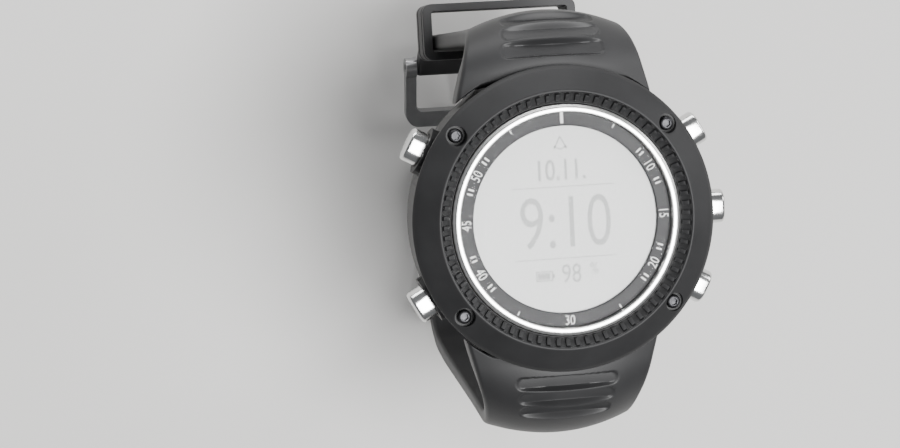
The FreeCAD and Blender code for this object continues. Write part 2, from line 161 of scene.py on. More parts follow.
def turned(outline, steps=192, closed=True):
    """A ring turned about Z from (radius, height) corners, or a solid disc if its outline is left open."""
    radius, height = outline[0]
    deselect()
    bpy.ops.mesh.primitive_circle_add(vertices=steps, radius=radius * MM, location=(0, 0, height * MM))
    obj = bpy.context.object
    settle(obj)
    bpy.ops.object.mode_set(mode="EDIT")
    bpy.ops.mesh.select_all(action="SELECT")
    for new_radius, new_height in outline[1:] + (outline[:1] if closed else []):
        bpy.ops.mesh.extrude_edges_move(TRANSFORM_OT_translate={"value": (0, 0, (new_height - height) * MM)})
        ratio = new_radius / radius
        bpy.ops.transform.resize(value=(ratio, ratio, 1), center_override=(0, 0, 0))
        radius, height = new_radius, new_height
    if not closed:
        bpy.ops.mesh.edge_face_add()
        bpy.ops.mesh.select_all(action="DESELECT")
        bpy.ops.object.mode_set(mode="OBJECT")
        for vertex in obj.data.vertices[:steps]:
            vertex.select = True
        bpy.ops.object.mode_set(mode="EDIT")
        bpy.ops.mesh.select_mode(type="VERT")
        bpy.ops.mesh.edge_face_add()
    bpy.ops.mesh.select_all(action="SELECT")
    bpy.ops.mesh.remove_doubles(threshold=1e-7)
    bpy.ops.mesh.normals_make_consistent(inside=False)
    bpy.ops.object.mode_set(mode="OBJECT")
    return obj


def rod(radius, start, end, sides=48):
    """A straight cylinder between two points."""
    a, b = Vector(start) * MM, Vector(end) * MM
    deselect()
    bpy.ops.mesh.primitive_cylinder_add(
        vertices=sides, radius=radius * MM, depth=(b - a).length, location=(a + b) / 2,
        rotation=(b - a).to_track_quat("Z", "Y").to_euler())
    obj = bpy.context.object
    settle(obj)
    return obj


def bar(size, centre):
    """A plain block."""
    deselect()
    bpy.ops.mesh.primitive_cube_add(size=MM, location=Vector(centre) * MM, scale=size)
    obj = bpy.context.object
    settle(obj)
    return obj


def spun(obj, degrees):
    """Turns the mesh about the watch's axis."""
    obj.data.transform(Matrix.Rotation(math.radians(degrees), 4, "Z"))
    return obj


def copied(obj):
    other = obj.copy()
    other.data = obj.data.copy()
    bpy.context.scene.collection.objects.link(other)
    return other


def joined(objects):
    pick(*objects)
    bpy.ops.object.join()
    return bpy.context.object


def prism(outline, x_low, x_high):
    """A flat outline of (y, z) corners, filled and pulled out across the watch."""
    deselect()
    bpy.ops.mesh.primitive_circle_add(vertices=len(outline), fill_type="NGON")
    obj = bpy.context.object
    for vertex, (y, z) in zip(obj.data.vertices, outline):
        vertex.co = Vector((x_low, y, z)) * MM
    bpy.ops.object.mode_set(mode="EDIT")
    bpy.ops.mesh.select_all(action="SELECT")
    bpy.ops.mesh.extrude_region_move(TRANSFORM_OT_translate={"value": ((x_high - x_low) * MM, 0, 0)})
    bpy.ops.mesh.select_all(action="SELECT")
    bpy.ops.mesh.normals_make_consistent(inside=False)
    bpy.ops.object.mode_set(mode="OBJECT")
    return obj


def moved(obj, offset):
    """Shifts the mesh."""
    obj.data.transform(Matrix.Translation(Vector(offset) * MM))
    return obj


def merged_copy(node, degrees=32):
    """A smooth-shaded copy of a CAD node whose shape is right."""
    obj = copied(NODES[node])
    obj.parent = None
    for key in list(obj.keys()):
        del obj[key]
    pick(obj)
    bpy.ops.object.mode_set(mode="EDIT")
    bpy.ops.mesh.select_all(action="SELECT")
    bpy.ops.mesh.remove_doubles(threshold=1e-6)
    bpy.ops.object.mode_set(mode="OBJECT")
    smooth(obj, degrees)
    return obj


# ------------------------------------------------------------------ material helpers
def linear(code):
    """sRGB hex to linear RGBA."""
    parts = [int(code[i:i + 2], 16) / 255 for i in (1, 3, 5)]
    return (*[c / 12.92 if c <= 0.04045 else ((c + 0.055) / 1.055) ** 2.4 for c in parts], 1.0)


def add(mat, kind, links=None, **settings):
    """Adds one shader node: settings by socket or property name, links as {input: (node, output)}."""
    node = mat.node_tree.nodes.new(kind)
    for key, value in settings.items():
        if hasattr(node, key):
            setattr(node, key, value)
        else:
            node.inputs[key.replace("_", " ")].default_value = value
    for key, (source, output) in (links or {}).items():
        mat.node_tree.links.new(source.outputs[output], node.inputs[key])
    return node


def new_material(name, **settings):
    """A material with its shader's settings, and the object's own coordinates to place textures in."""
    mat = bpy.data.materials.new(name)
    mat.use_nodes = True
    shader = mat.node_tree.nodes["Principled BSDF"]
    for key, value in settings.items():
        shader.inputs[key.replace("_", " ")].default_value = value
    place = add(mat, "ShaderNodeTexCoord")
    return mat, shader, place


def ramp(mat, source, output, stops):
    """Colour ramp over a 0 to 1 value; stops are (position, hex)."""
    node = add(mat, "ShaderNodeValToRGB", {"Fac": (source, output)})
    while len(node.color_ramp.elements) < len(stops):
        node.color_ramp.elements.new(0.5)
    for element, (position, code) in zip(node.color_ramp.elements, stops):
        element.position = position
        element.color = linear(code)
    return node


def spread(mat, source, output, low, high):
    """Maps a 0 to 1 value to low..high."""
    return add(mat, "ShaderNodeMapRange", {"Value": (source, output)}, To_Min=low, To_Max=high)


def grain(mat, place, size_mm, detail=3.0):
    """Noise whose features are about size_mm across."""
    return add(mat, "ShaderNodeTexNoise", {"Vector": (place, "Object")},
               Scale=1000.0 / size_mm, Detail=detail)


def bump(mat, shader, source, output, depth_mm):
    """Relief of the given depth from a 0 to 1 value."""
    node = add(mat, "ShaderNodeBump", {"Height": (source, output)}, Strength=1.0, Distance=depth_mm * MM)
    mat.node_tree.links.new(node.outputs["Normal"], shader.inputs["Normal"])


def join_colour(mat, shader, node):
    mat.node_tree.links.new(node.outputs["Color"], shader.inputs["Base Color"])


def join_roughness(mat, shader, node):
    mat.node_tree.links.new(node.outputs["Result"], shader.inputs["Roughness"])


def plastic(name, dark, light, rough_low, rough_high, texture_mm, depth_mm, patch_mm=7.0, **settings):
    """Moulded or printed surface: slow colour drift, a fine texture, and roughness that follows the drift."""
    mat, shader, place = new_material(name, **settings)
    patches = grain(mat, place, patch_mm, 4.0)
    fine = grain(mat, place, texture_mm, 2.0)
    join_colour(mat, shader, ramp(mat, patches, "Fac", ((0.3, dark), (0.7, light))))
    join_roughness(mat, shader, spread(mat, patches, "Fac", rough_low, rough_high))
    bump(mat, shader, fine, "Fac", depth_mm)
    return mat


def metal(name, dark, light, rough_low, rough_high, texture_mm, depth_mm, patch_mm=3.0):
    """Bare or plated metal: slight tarnish in patches and a fine worked surface."""
    mat, shader, place = new_material(name, Metallic=1.0)
    patches = grain(mat, place, patch_mm, 4.0)
    fine = grain(mat, place, texture_mm, 3.0)
    join_colour(mat, shader, ramp(mat, patches, "Fac", ((0.3, dark), (0.7, light))))
    join_roughness(mat, shader, spread(mat, fine, "Fac", rough_low, rough_high))
    bump(mat, shader, fine, "Fac", depth_mm)
    return mat


def wear(obj, mat):
    """Gives the piece its one material."""
    obj.data.materials.clear()
    obj.data.materials.append(mat)


# ------------------------------------------------------------------ materials
# Glass-filled nylon from a spark-eroded mould: charcoal, a dry sheen, a fine even sand-like texture.
NYLON = plastic("glass_filled_nylon_eroded", "#1a1a1b", "#212122", 0.48, 0.58, 0.16, 0.012,
                Specular_IOR_Level=0.32)
# The same nylon in the middle case, with painted shade: a little blacker, as it sits under the bezel.
NYLON_CASE_PAINTED_SHADE = plastic("glass_filled_nylon_case_painted_shade", "#121213", "#181819", 0.5, 0.6, 0.2, 0.012,
                     Specular_IOR_Level=0.32)
# Polyurethane strap elastomer: satin charcoal that catches a broad soft light, with skin-oil patches.
ELASTOMER = plastic("polyurethane_elastomer_satin", "#1d1d1e", "#252526", 0.44, 0.58, 0.22, 0.010, 9.0,
                    Specular_IOR_Level=0.4, Coat_Weight=0.04, Coat_Roughness=0.45)
# Silicone seal: soft black, hardly any gloss.
SILICONE = plastic("silicone_seal_moulded", "#101011", "#19191a", 0.6, 0.75, 0.3, 0.01)
# Screen-printed anthracite ring under the glass: flat and even, with a fine dry ink grain.
RING_INK = plastic("anthracite_screen_print", "#2d2d2f", "#343436", 0.5, 0.6, 0.12, 0.004)
# White ink for the figures and marks: dense, slightly chalky.
WHITE_INK = plastic("white_screen_print", "#ebebe9", "#f6f6f4", 0.45, 0.55, 0.12, 0.004)
# Twisted nematic display film: pale warm grey with a soft pearl from its reflector.
DISPLAY = plastic("lcd_reflective_film", "#e6e8e6", "#eff0ee", 0.32, 0.42, 0.08, 0.002, 14.0,
                  Coat_Weight=0.2, Coat_Roughness=0.25)
# Switched display segments: grey, a little darker than the film and just as smooth.
SEGMENT = plastic("lcd_segment_dark", "#b2b4b3", "#babcbb", 0.35, 0.45, 0.08, 0.002, 14.0)
# Stainless steel ring turned and then polished: nearly white, with thin turning lines.
RING_STEEL = metal("stainless_ring_turned", "#ececea", "#f8f8f6", 0.26, 0.34, 0.5, 0.002)
# Tumbled and polished stainless pushers: bright, a few faint scuffs.
PUSHER_STEEL = metal("stainless_pusher_polished", "#c9c9c8", "#dfdfde", 0.12, 0.24, 0.35, 0.004)
# Blackened socket screws: dark grey oxide with brighter worn patches.
SCREW_STEEL = metal("blackened_socket_screw", "#2e2e30", "#48484a", 0.38, 0.5, 0.2, 0.006, 0.8)
# Bead-blasted stainless steel on the buckle and the case back: even, soft, grey.
BLASTED_STEEL = metal("stainless_bead_blasted", "#969697", "#a1a1a2", 0.34, 0.46, 0.14, 0.010)
# Centreless-ground pins: smooth grey steel.
PIN_STEEL = metal("stainless_pin_ground", "#9c9c9c", "#b4b4b4", 0.22, 0.3, 0.3, 0.003)
# Spring wire and clips: drawn steel, a little yellowed by heat.
SPRING_STEEL = metal("spring_steel_drawn", "#8f8a80", "#a8a296", 0.28, 0.38, 0.2, 0.003)
# Hard gold on the charging contacts, with paler rubbed patches.
GOLD = metal("hard_gold_plate", "#c79a45", "#dcb565", 0.18, 0.32, 0.2, 0.004, 0.9)
# Nickel brass discs and switch cans.
NICKEL = metal("nickel_plated_can", "#a9a79f", "#bfbdb5", 0.25, 0.38, 0.3, 0.004)
# Pouch-cell foil: silvery laminate with shallow dimples.
FOIL = metal("pouch_foil_laminate", "#a6a8aa", "#c0c2c4", 0.3, 0.45, 1.2, 0.05)
# Solder mask over woven laminate: deep green, glossy, with faint copper relief.
BOARD = plastic("solder_mask_green", "#0d3b20", "#14502c", 0.28, 0.4, 0.6, 0.01, 2.5)
# Transfer-moulded chip packages.
CHIP = plastic("epoxy_chip_package", "#161617", "#202022", 0.45, 0.6, 0.1, 0.006)
# Fired ceramic antenna: pale buff, matt.
CERAMIC = plastic("fired_ceramic_patch", "#b9ac92", "#c8bca3", 0.55, 0.7, 0.15, 0.006)
# Polyimide ribbon: amber and glossy.
POLYIMIDE = plastic("polyimide_ribbon", "#8a4d12", "#a05f1c", 0.25, 0.35, 0.8, 0.004)
# White reflecting carrier and light guide.
CARRIER = plastic("white_polycarbonate_carrier", "#cfcfca", "#dcdcd8", 0.4, 0.5, 0.2, 0.006)


def mineral_glass():
    """Mineral glass with an anti-reflection layer: clear, a weak gloss, a few fine hairlines."""
    mat, shader, place = new_material("mineral_glass_polished", IOR=1.52, Specular_IOR_Level=0.14)
    shader.inputs["Base Color"].default_value = linear("#101212")
    shader.inputs["Alpha"].default_value = 0.08
    hairline = grain(mat, place, 2.5, 6.0)
    join_roughness(mat, shader, spread(mat, hairline, "Fac", 0.015, 0.05))
    return mat


GLASS = mineral_glass()


# ------------------------------------------------------------------ head
def make_bezel():
    """Sloping shell with a ridge, a recessed cone inside it for the teeth, and four counterbores."""
    skirt = [(18.95, 9.62), (24.75, 9.62), (24.98, 9.85), (24.98, 10.28), (24.93, 10.38), (24.46, 10.84)]
    slope = [(24.34, 10.94), (23.6, 11.44), (22.7, 12.0), (21.9, 12.5), (21.35, 12.85)]
    ridge = [(21.15, 12.98), (20.98, 13.06), (20.84, 13.07), (20.72, 13.02), (20.62, 12.9), (20.52, 12.6)]
    cone = [(20.4, 12.45), (19.2, 11.72), (19.1, 11.75), (19.06, 11.85), (18.95, 11.85)]
    bezel = turned(skirt + slope + ridge + cone, 256)
    cutters = []
    for angle in SCREW_ANGLES:
        cutters.append(spun(rod(1.6, (SCREW_CIRCLE, 0, 10.5), (SCREW_CIRCLE, 0, 14)), angle))
        cutters.append(spun(rod(0.8, (SCREW_CIRCLE, 0, 9.0), (SCREW_CIRCLE, 0, 10.8), 32), angle))
    carve(bezel, *cutters)
    soften(bezel, 0.09, 2, 42)
    flatten(bezel)
    named("bezel_shell", "bezel", "head", "bezel")
    wear(bezel, NYLON)


def make_bezel_teeth():
    """Ring of small blocks on the bezel's inner cone: one block, rounded, then spun round."""
    tooth = bar((1.32, 0.7, 0.5), (0, 0, 0))
    soften(tooth, 0.09, 2, 30)
    tooth.data.transform(Matrix.Rotation(math.radians(-31.0), 4, "Y"))
    pick(moved(tooth, (19.84, 0, 12.34)))
    bpy.ops.object.mode_set(mode="EDIT")
    bpy.ops.mesh.select_all(action="SELECT")
    bpy.ops.mesh.spin(steps=TEETH, angle=math.radians(360), dupli=True, center=(0, 0, 0), axis=(0, 0, 1))
    bpy.ops.mesh.select_all(action="SELECT")
    bpy.ops.mesh.remove_doubles(threshold=1e-7)
    bpy.ops.object.mode_set(mode="OBJECT")
    smooth(tooth, 40)
    named("bezel_teeth", "bezel", "head")
    wear(tooth, NYLON)


def make_screws():
    """Bezel screws: domed heads with a hexagon socket, each left at its own turn."""
    outline = [(1.15, 10.5), (1.15, 11.1), (1.08, 11.3), (0.92, 11.45), (0.7, 11.5), (0.7, 11.49)]
    screws = []
    for angle in SCREW_ANGLES:
        head = turned(outline, 40, closed=False)
        shank = rod(0.7, (0, 0, 6.25), (0, 0, 10.6), 32)
        carve(head, shank, operation="UNION")
        carve(head, rod(0.66, (0, 0, 10.9), (0, 0, 12.5), 6))
        soften(head, 0.04, 1, 50)
        smooth(head, 40)
        spun(head, 17 + angle * 1.7)
        screws.append(spun(moved(head, (SCREW_CIRCLE, 0, 0)), angle))
    screws = joined(screws)
    named("bezel_screw_set", "steel_screw", "head", "bezel_screws")
    wear(screws, SCREW_STEEL)


def make_lens():
    """Flat glass disc with a softened rim."""
    lens = turned([(17.45, 11.25), (17.45, 12.2), (17.4, 12.3), (17.28, 12.4), (17.1, 12.45)], closed=False)
    smooth(lens, 35)
    named("lens_glass", "lens", "head", "lens")
    wear(lens, GLASS)


def make_lens_ring():
    """Bright ring with a flat crest, rounded edges and a low step round its outside."""
    step = [(17.5, 10.05), (18.78, 10.05), (18.78, 12.16), (18.74, 12.26), (18.62, 12.36), (18.46, 12.44)]
    crest = [(18.38, 12.5), (18.35, 12.66), (18.29, 12.75), (18.18, 12.785), (18.0, 12.79), (17.72, 12.78),
             (17.62, 12.75), (17.54, 12.66), (17.5, 12.52)]
    ring = turned(step + crest, 256)
    smooth(ring, 30)
    named("lens_ring_turned", "lens_ring", "head", "lens_ring")
    wear(ring, RING_STEEL)


def make_dial_ring():
    """Flat printed ring under the glass, its inner edge softened."""
    ring = turned([(15.2, 10.85), (17.45, 10.85), (17.45, 11.2), (17.42, 11.24),
                   (15.42, 11.24), (15.3, 11.21), (15.2, 11.12)])
    smooth(ring, 30)
    named("dial_ring_printed", "dial_ring", "head", "dial_ring")
    wear(ring, RING_INK)


def lettering(text, height, squeeze=0.8, bold=0.0):
    """Figures as a thin mesh about the watch's axis; squeeze narrows them, bold thickens their strokes."""
    deselect()
    bpy.ops.object.text_add(location=(0, 0, 0))
    obj = bpy.context.object
    obj.data.body = text
    obj.data.size = height * MM * FONT_PER_FIGURE_HEIGHT
    obj.data.align_x = "CENTER"
    obj.data.align_y = "CENTER"
    obj.data.extrude = INK_THICKNESS / 2 * MM
    obj.data.offset = bold * MM
    obj.data.resolution_u = 6
    pick(obj)
    bpy.ops.object.convert(target="MESH")
    obj = bpy.context.object
    obj.data.transform(Matrix.Diagonal((squeeze, 1, 1, 1)))
    lows = [min(v.co[i] for v in obj.data.vertices) for i in (0, 1)]
    highs = [max(v.co[i] for v in obj.data.vertices) for i in (0, 1)]
    middle = Vector(((lows[0] + highs[0]) / 2, (lows[1] + highs[1]) / 2, 0))
    obj.data.transform(Matrix.Translation(-middle))
    return obj


def ring_figure(text, angle, upright=False):
    """A minute figure on the dial ring, its foot towards the middle, or towards the rim if upright."""
    figure = spun(lettering(text, FIGURE_SIZE), 180 if upright else 0)
    return spun(moved(figure, (0, FIGURE_CIRCLE, DIAL_PRINT_HEIGHT)), angle - 90)


def ring_mark(angle, length, width, radius):
    """A printed bar that points at the watch's middle."""
    return spun(bar((length, width, INK_THICKNESS), (radius, 0, DIAL_PRINT_HEIGHT)), angle)


def make_dial_print():
    """Minute figures beside each pusher and at six, short bars between, and a long mark at twelve."""
    pieces = [ring_figure("10", 29), ring_figure("15", 0), ring_figure("50", 151), ring_figure("45", 180),
              ring_figure("20", -29, upright=True), ring_figure("40", 209, upright=True),
              ring_figure("30", 270, upright=True), ring_mark(90, 1.8, 0.5, 16.5)]
    for angle in (29, -29, 151, 209):
        for step in (-11, -8.4, 8.4, 11):
            pieces.append(ring_mark(angle + step, 0.95, 0.3, FIGURE_CIRCLE))
    for angle in (60, 120, 240, 300):
        pieces.append(ring_mark(angle, 0.7, 0.22, 16.95))
    marks = joined(pieces)
    named("dial_figures", "dial_ring", "head")
    wear(marks, WHITE_INK)


def make_display():
    """The display as one disc."""
    panel = turned([(16.7, 9.3), (16.7, 10.62), (16.62, 10.7)], 160, closed=False)
    smooth(panel, 30)
    named("lcd_film_stack", "lcd_panel", "head", "lcd_panel")
    wear(panel, DISPLAY)


def stroke(wide, high, x, y, lean=0):
    """A straight display segment about (x, y), turned by lean."""
    return moved(spun(bar((wide, high, INK_THICKNESS), (0, 0, 0)), lean), (x, y, SEGMENT_HEIGHT))


def make_segments():
    """Date, time, two rules, a navigation arrow and a battery gauge on the display."""
    pieces = [moved(lettering("10.11.", 3.35, 0.76, 0.05), (-0.2, 8.1, SEGMENT_HEIGHT)),
              moved(lettering("9:10", 8.75, 0.745, -0.09), (0.1, -0.4, SEGMENT_HEIGHT)),
              moved(lettering("98", 3.1, 0.78), (0.7, -8.8, SEGMENT_HEIGHT)),
              moved(lettering("%", 1.9), (4.5, -8.2, SEGMENT_HEIGHT))]
    pieces += [stroke(17.0, 0.12, -0.1, y) for y in (5.35, -6.3)]
    pieces += [stroke(2.6, 0.16, -3.8, y) for y in (-8.3, -9.8)]
    pieces += [stroke(0.16, 1.66, x, -9.05) for x in (-5.1, -2.5)]
    pieces += [stroke(0.3, 0.7, -2.28, -9.05), stroke(2.0, 1.0, -3.9, -9.05)]
    for side in (-1, 1):
        x = -0.3 + side * 0.52
        pieces += [stroke(0.2, 2.3, x, 12.5, side * 27), stroke(0.2, 1.15, x, 11.65, side * -62)]
    segments = joined(pieces)
    named("lcd_segments", "lcd_panel", "head")
    wear(segments, SEGMENT)


def make_button(name, angle):
    """Rounded metal pusher: a block with full-round ends and a crowned, softened face, on its stem."""
    cap = bar((3.96, 5.6, 4.2), (25.98, 0, BUTTON_HEIGHT))
    round_along(cap, 0, 2.02)
    bpy.ops.object.mode_set(mode="EDIT")
    bpy.ops.mesh.select_mode(type="FACE")
    bpy.ops.mesh.select_all(action="DESELECT")
    bpy.ops.object.mode_set(mode="OBJECT")
    for face in cap.data.polygons:
        face.select = face.normal.x > 0.9
    bpy.ops.object.mode_set(mode="EDIT")
    bpy.ops.mesh.inset(thickness=0.75 * MM, depth=0)
    bpy.ops.mesh.inset(thickness=0.5 * MM, depth=0.035 * MM)
    bpy.ops.object.mode_set(mode="OBJECT")
    soften(cap, 0.5, 5, 60)
    stem = rod(1.0, (18.85, 0, BUTTON_HEIGHT), (24.2, 0, BUTTON_HEIGHT), 32)
    clip_groove = rod(1.3, (19.4, 0, BUTTON_HEIGHT), (19.8, 0, BUTTON_HEIGHT), 32)
    carve(clip_groove, rod(0.8, (19, 0, BUTTON_HEIGHT), (20.2, 0, BUTTON_HEIGHT), 32))
    carve(stem, clip_groove)
    cap = joined([cap, stem])
    smooth(spun(cap, angle), 38)
    named(name + "_pusher", "button", name + "_button", name + "_button")
    wear(cap, PUSHER_STEEL)


def make_back_cover():
    """Back cover with a shallow ring groove, a spigot inside, counterbores, and holes for the contacts."""
    spigot = [(19.0, 1.4), (19.0, 2.4), (19.8, 2.4), (19.8, 1.4)]
    rim = [(23.98, 1.4), (23.98, 0.62), (23.9, 0.48), (23.45, 0.06), (23.25, 0.0)]
    ring_groove = [(19.6, 0.0), (19.5, 0.07), (19.2, 0.07), (19.1, 0.0)]
    cover = turned(spigot + rim + ring_groove, closed=False)
    cutters = [moved(rod(0.92, (0, 0, -1), (0, 0, 3), 40), (x, y, 0)) for x, y in CONTACTS]
    for angle in BACK_SCREW_ANGLES:
        cutters.append(spun(rod(1.2, (BACK_SCREW_CIRCLE, 0, -1), (BACK_SCREW_CIRCLE, 0, 0.8), 40), angle))
        cutters.append(spun(rod(0.65, (BACK_SCREW_CIRCLE, 0, 0), (BACK_SCREW_CIRCLE, 0, 2), 32), angle))
    carve(cover, *cutters)
    soften(cover, 0.08, 2, 40)
    flatten(cover)
    named("back_cover_blasted", "back_cover", "head", "back_cover")
    wear(cover, BLASTED_STEEL)


def make_back_screws():
    """Back screws: slotted heads, each left at its own turn."""
    outline = [(0.6, 4.4), (0.6, 0.8), (1.1, 0.8), (1.1, 0.26), (1.02, 0.15), (0.85, 0.1)]
    screws = []
    for angle in BACK_SCREW_ANGLES:
        head = turned(outline, 40, closed=False)
        carve(head, bar((3.0, 0.35, 0.9), (0, 0, 0.0)))
        soften(head, 0.03, 1, 50)
        smooth(head, 40)
        spun(head, 31 + angle * 1.3)
        screws.append(spun(moved(head, (BACK_SCREW_CIRCLE, 0, 0)), angle))
    screws = joined(screws)
    named("back_screw_set", "steel_screw", "head", "back_screws")
    wear(screws, SCREW_STEEL)


def make_contacts():
    """Round charging contacts, set back a little in the cover."""
    pads = []
    for x, y in CONTACTS:
        pad = rod(0.9, (0, 0, 0.15), (0, 0, 2.6), 48)
        soften(pad, 0.12, 3, 50)
        pads.append(moved(pad, (x, y, 0)))
    pads = joined(pads)
    smooth(pads, 40)
    named("contact_pads", "contact", "head", "charge_contacts")
    wear(pads, GOLD)


# ------------------------------------------------------------------ strap
# Each half: radius of the arc at its root, its leg's tilt and length, and how far it reaches from its pin.
BENDS = {"buckle": (6.3, 93.0, 46.0, 66.0), "hole": (10.5, 98.0, 42.0, 102.5)}
# Where the root arc starts beside the pin, and the radius of the arc between the leg and the flat part.
ARC_START_Y = 24.0
FOOT_RADIUS = 19.0
# Distance from the pin, width, thickness below and above the middle line, and crown across.
SHARED_SIZES = [(-14, 34.2, 2.6, 3.8, 2.4), (-7.5, 32.6, 2.6, 3.8, 2.5), (0, 28.6, 2.6, 3.7, 2.8),
                (4.5, 26.2, 2.1, 3.6, 3.0), (9, 24.9, 1.8, 3.4, 2.8), (15, 24.3, 1.6, 2.7, 2.1),
                (25, 24, 1.5, 1.9, 1.1), (50, 24, 1.5, 1.7, 0.5)]
SIZES = {"buckle": SHARED_SIZES + [(66, 22.8, 1.6, 1.6, 0), (90, 22.8, 1.6, 1.6, 0)],
         "hole": SHARED_SIZES + [(77, 22, 1.4, 1.6, 0), (200, 22, 1.4, 1.6, 0)]}
# Each groove's distance from the pin and its length.
GROOVES = ((-0.65, 17.0), (1.6, 16.2), (3.9, 15.4))
GROOVE_WIDTH = 1.8
GROOVE_DEPTH = 1.2
GROOVE_LIP = 0.12
# Distance from the pin to each slot's middle; a slot is two half circles joined by a straight part.
SLOTS = [45.5 + 6.0 * k for k in range(9)]
SLOT_RADIUS = 1.2
SLOT_HALF_STRAIGHT = 3.3
# The rounded tip of the slotted half starts here.
TIP = 93.5
TIP_LENGTH = 9.0
# The buckle's bar lies at the end of the other half, which is rounded about it and open for the tongue.
BAR_REACH = BENDS["buckle"][3]
BAR_END_RADIUS = 1.6
BAR_BORE = 0.78
TONGUE_GAP = 5.2
TONGUE_GAP_START = BAR_REACH - 2.8
EDGE_RADIUS = 0.6
# Share of the half width at which the rounded edge starts in the net.
EDGE_START = 0.985


def strap_line(s, side):
    """Place and tilt of the middle line at distance s from the pin: line, root arc, leg, wide arc, flat."""
    root_r, leg_tilt, leg_l, _ = BENDS[side]
    leg_tilt = math.radians(leg_tilt)
    start = math.asin((PIN_Y - ARC_START_Y) / root_r)
    y, z, tilt = ARC_START_Y, PIN_Z + root_r * (1 - math.cos(start)), 0.0
    s += root_r * start
    if s <= 0:
        return y + s, z, 0.0
    foot_l = FOOT_RADIUS * (math.pi - leg_tilt)
    for radius, length in ((root_r, root_r * leg_tilt), (0, leg_l), (FOOT_RADIUS, foot_l), (0, math.inf)):
        run = min(s, length)
        if radius:
            end = tilt + run / radius
            y += radius * (math.sin(end) - math.sin(tilt))
            z -= radius * (math.cos(tilt) - math.cos(end))
            tilt = end
        else:
            y += run * math.cos(tilt)
            z -= run * math.sin(tilt)
        s -= run
        if s <= 0:
            break
    return y, z, tilt


def laid(obj, s, side, tilt=None):
    """Moves a piece drawn with +Y along the strap and +Z out of it to distance s from the pin."""
    y, z, own_tilt = strap_line(s, side)
    obj.data.transform(Matrix.Rotation(-(own_tilt if tilt is None else tilt), 4, "X"))
    return moved(obj, (0, y, z))


def strap_size(s, side):
    """Half width, thickness below and above, and crown; a mean of five readings rounds the table's corners."""
    found = [0.0] * 4
    for step in (-1.6, -0.8, 0.0, 0.8, 1.6):
        for (s0, *low), (s1, *high) in zip(SIZES[side], SIZES[side][1:]):
            if s + step <= s1:
                break
        part = max(0.0, (s + step - s0) / (s1 - s0))
        found = [f + (a + (b - a) * part) / 5 for f, a, b in zip(found, low, high)]
    return found[0] / 2, found[1], found[2], found[3]


def rounded(distance, radius):
    """How far a rounded edge has fallen away at this distance from it."""
    inside = min(max(distance, 0.0), radius)
    return radius - math.sqrt(radius ** 2 - (radius - inside) ** 2)


def strap_surface(s, across, side, from_root):
    """Place across, and heights of the outer and inner surface, at distance s from the pin."""
    half, below, above, crown = strap_size(s, side)
    if side == "hole" and s > TIP:
        half *= math.sqrt(max(0.0, 1 - ((s - TIP) / (TIP_LENGTH + 0.02)) ** 2))
    edge = EDGE_RADIUS if half > 2 else 0.3 * half
    x = (half - edge) * across / EDGE_START
    if across > EDGE_START:
        x = half - (1 - across) * EDGE_RADIUS / (1 - EDGE_START)
    fall = rounded(half - x, edge) + rounded(from_root, 0.45)
    top, low = above - crown * (x / half) ** 2 - fall, -below + fall
    for middle, length in GROOVES:
        gap = math.hypot(max(x - (length - GROOVE_WIDTH) / 2, 0.0), s - middle) - GROOVE_WIDTH / 2
        if gap < GROOVE_LIP:
            part = min((GROOVE_LIP - gap) / (3 * GROOVE_LIP), 1.0)
            top += (min(above - GROOVE_DEPTH, top) - top) * part * part * (3 - 2 * part)
    if side == "hole":
        gap = min(math.hypot(max(x - SLOT_HALF_STRAIGHT, 0.0), s - slot) for slot in SLOTS) - SLOT_RADIUS
        fall = rounded(gap, 0.3)
        top, low = top - fall, low + fall
    else:
        fall = rounded(max(x - TONGUE_GAP / 2, TONGUE_GAP_START - s), 0.25)
        end = math.sqrt(max(0.0, 1 - (max(s - BAR_REACH, 0.0) / BAR_END_RADIUS) ** 2))
        top, low = (top - fall) * end, (low + fall) * end
    return x, top, low


def strap_point(s, across, squash, side, from_root=9.0):
    """A point on the strap's skin: across is (-1 to 1 from edge to edge, whether it is the outer side), and
    squash draws the two sides together."""
    x, top, low = strap_surface(s, abs(across[0]), side, from_root)
    middle = (top + low) / 2
    up = middle + ((top if across[1] else low) - middle) * squash
    y, z, tilt = strap_line(s, side)
    return Vector((math.copysign(x, across[0]), y + up * math.sin(tilt), z + up * math.cos(tilt)))


def strap_root(across, squash, side, from_root):
    """Distance at which a line of the skin ends: at the round of the case, or tucked in under the bezel."""
    # How far from the pin's axis the root is tucked in, and how its end leans there above the case's foot.
    pin_reach, end_lean, lean_base = 5.55, 0.298, 2.72
    low, high = -13.0, 3.0
    for _ in range(22):
        middle = (low + high) / 2
        place = strap_point(middle, across, squash, side, from_root)
        hug_y = math.sqrt(max(HUG_RADIUS ** 2 - place.x ** 2, 0.0))
        tucked = (place.y > hug_y - end_lean * max(place.z - lean_base, 0.0)
                  and math.hypot(place.y - PIN_Y, place.z - PIN_Z) < pin_reach)
        if place.xy.length < HUG_RADIUS and not tucked:
            low = middle
        else:
            high = middle
    return high


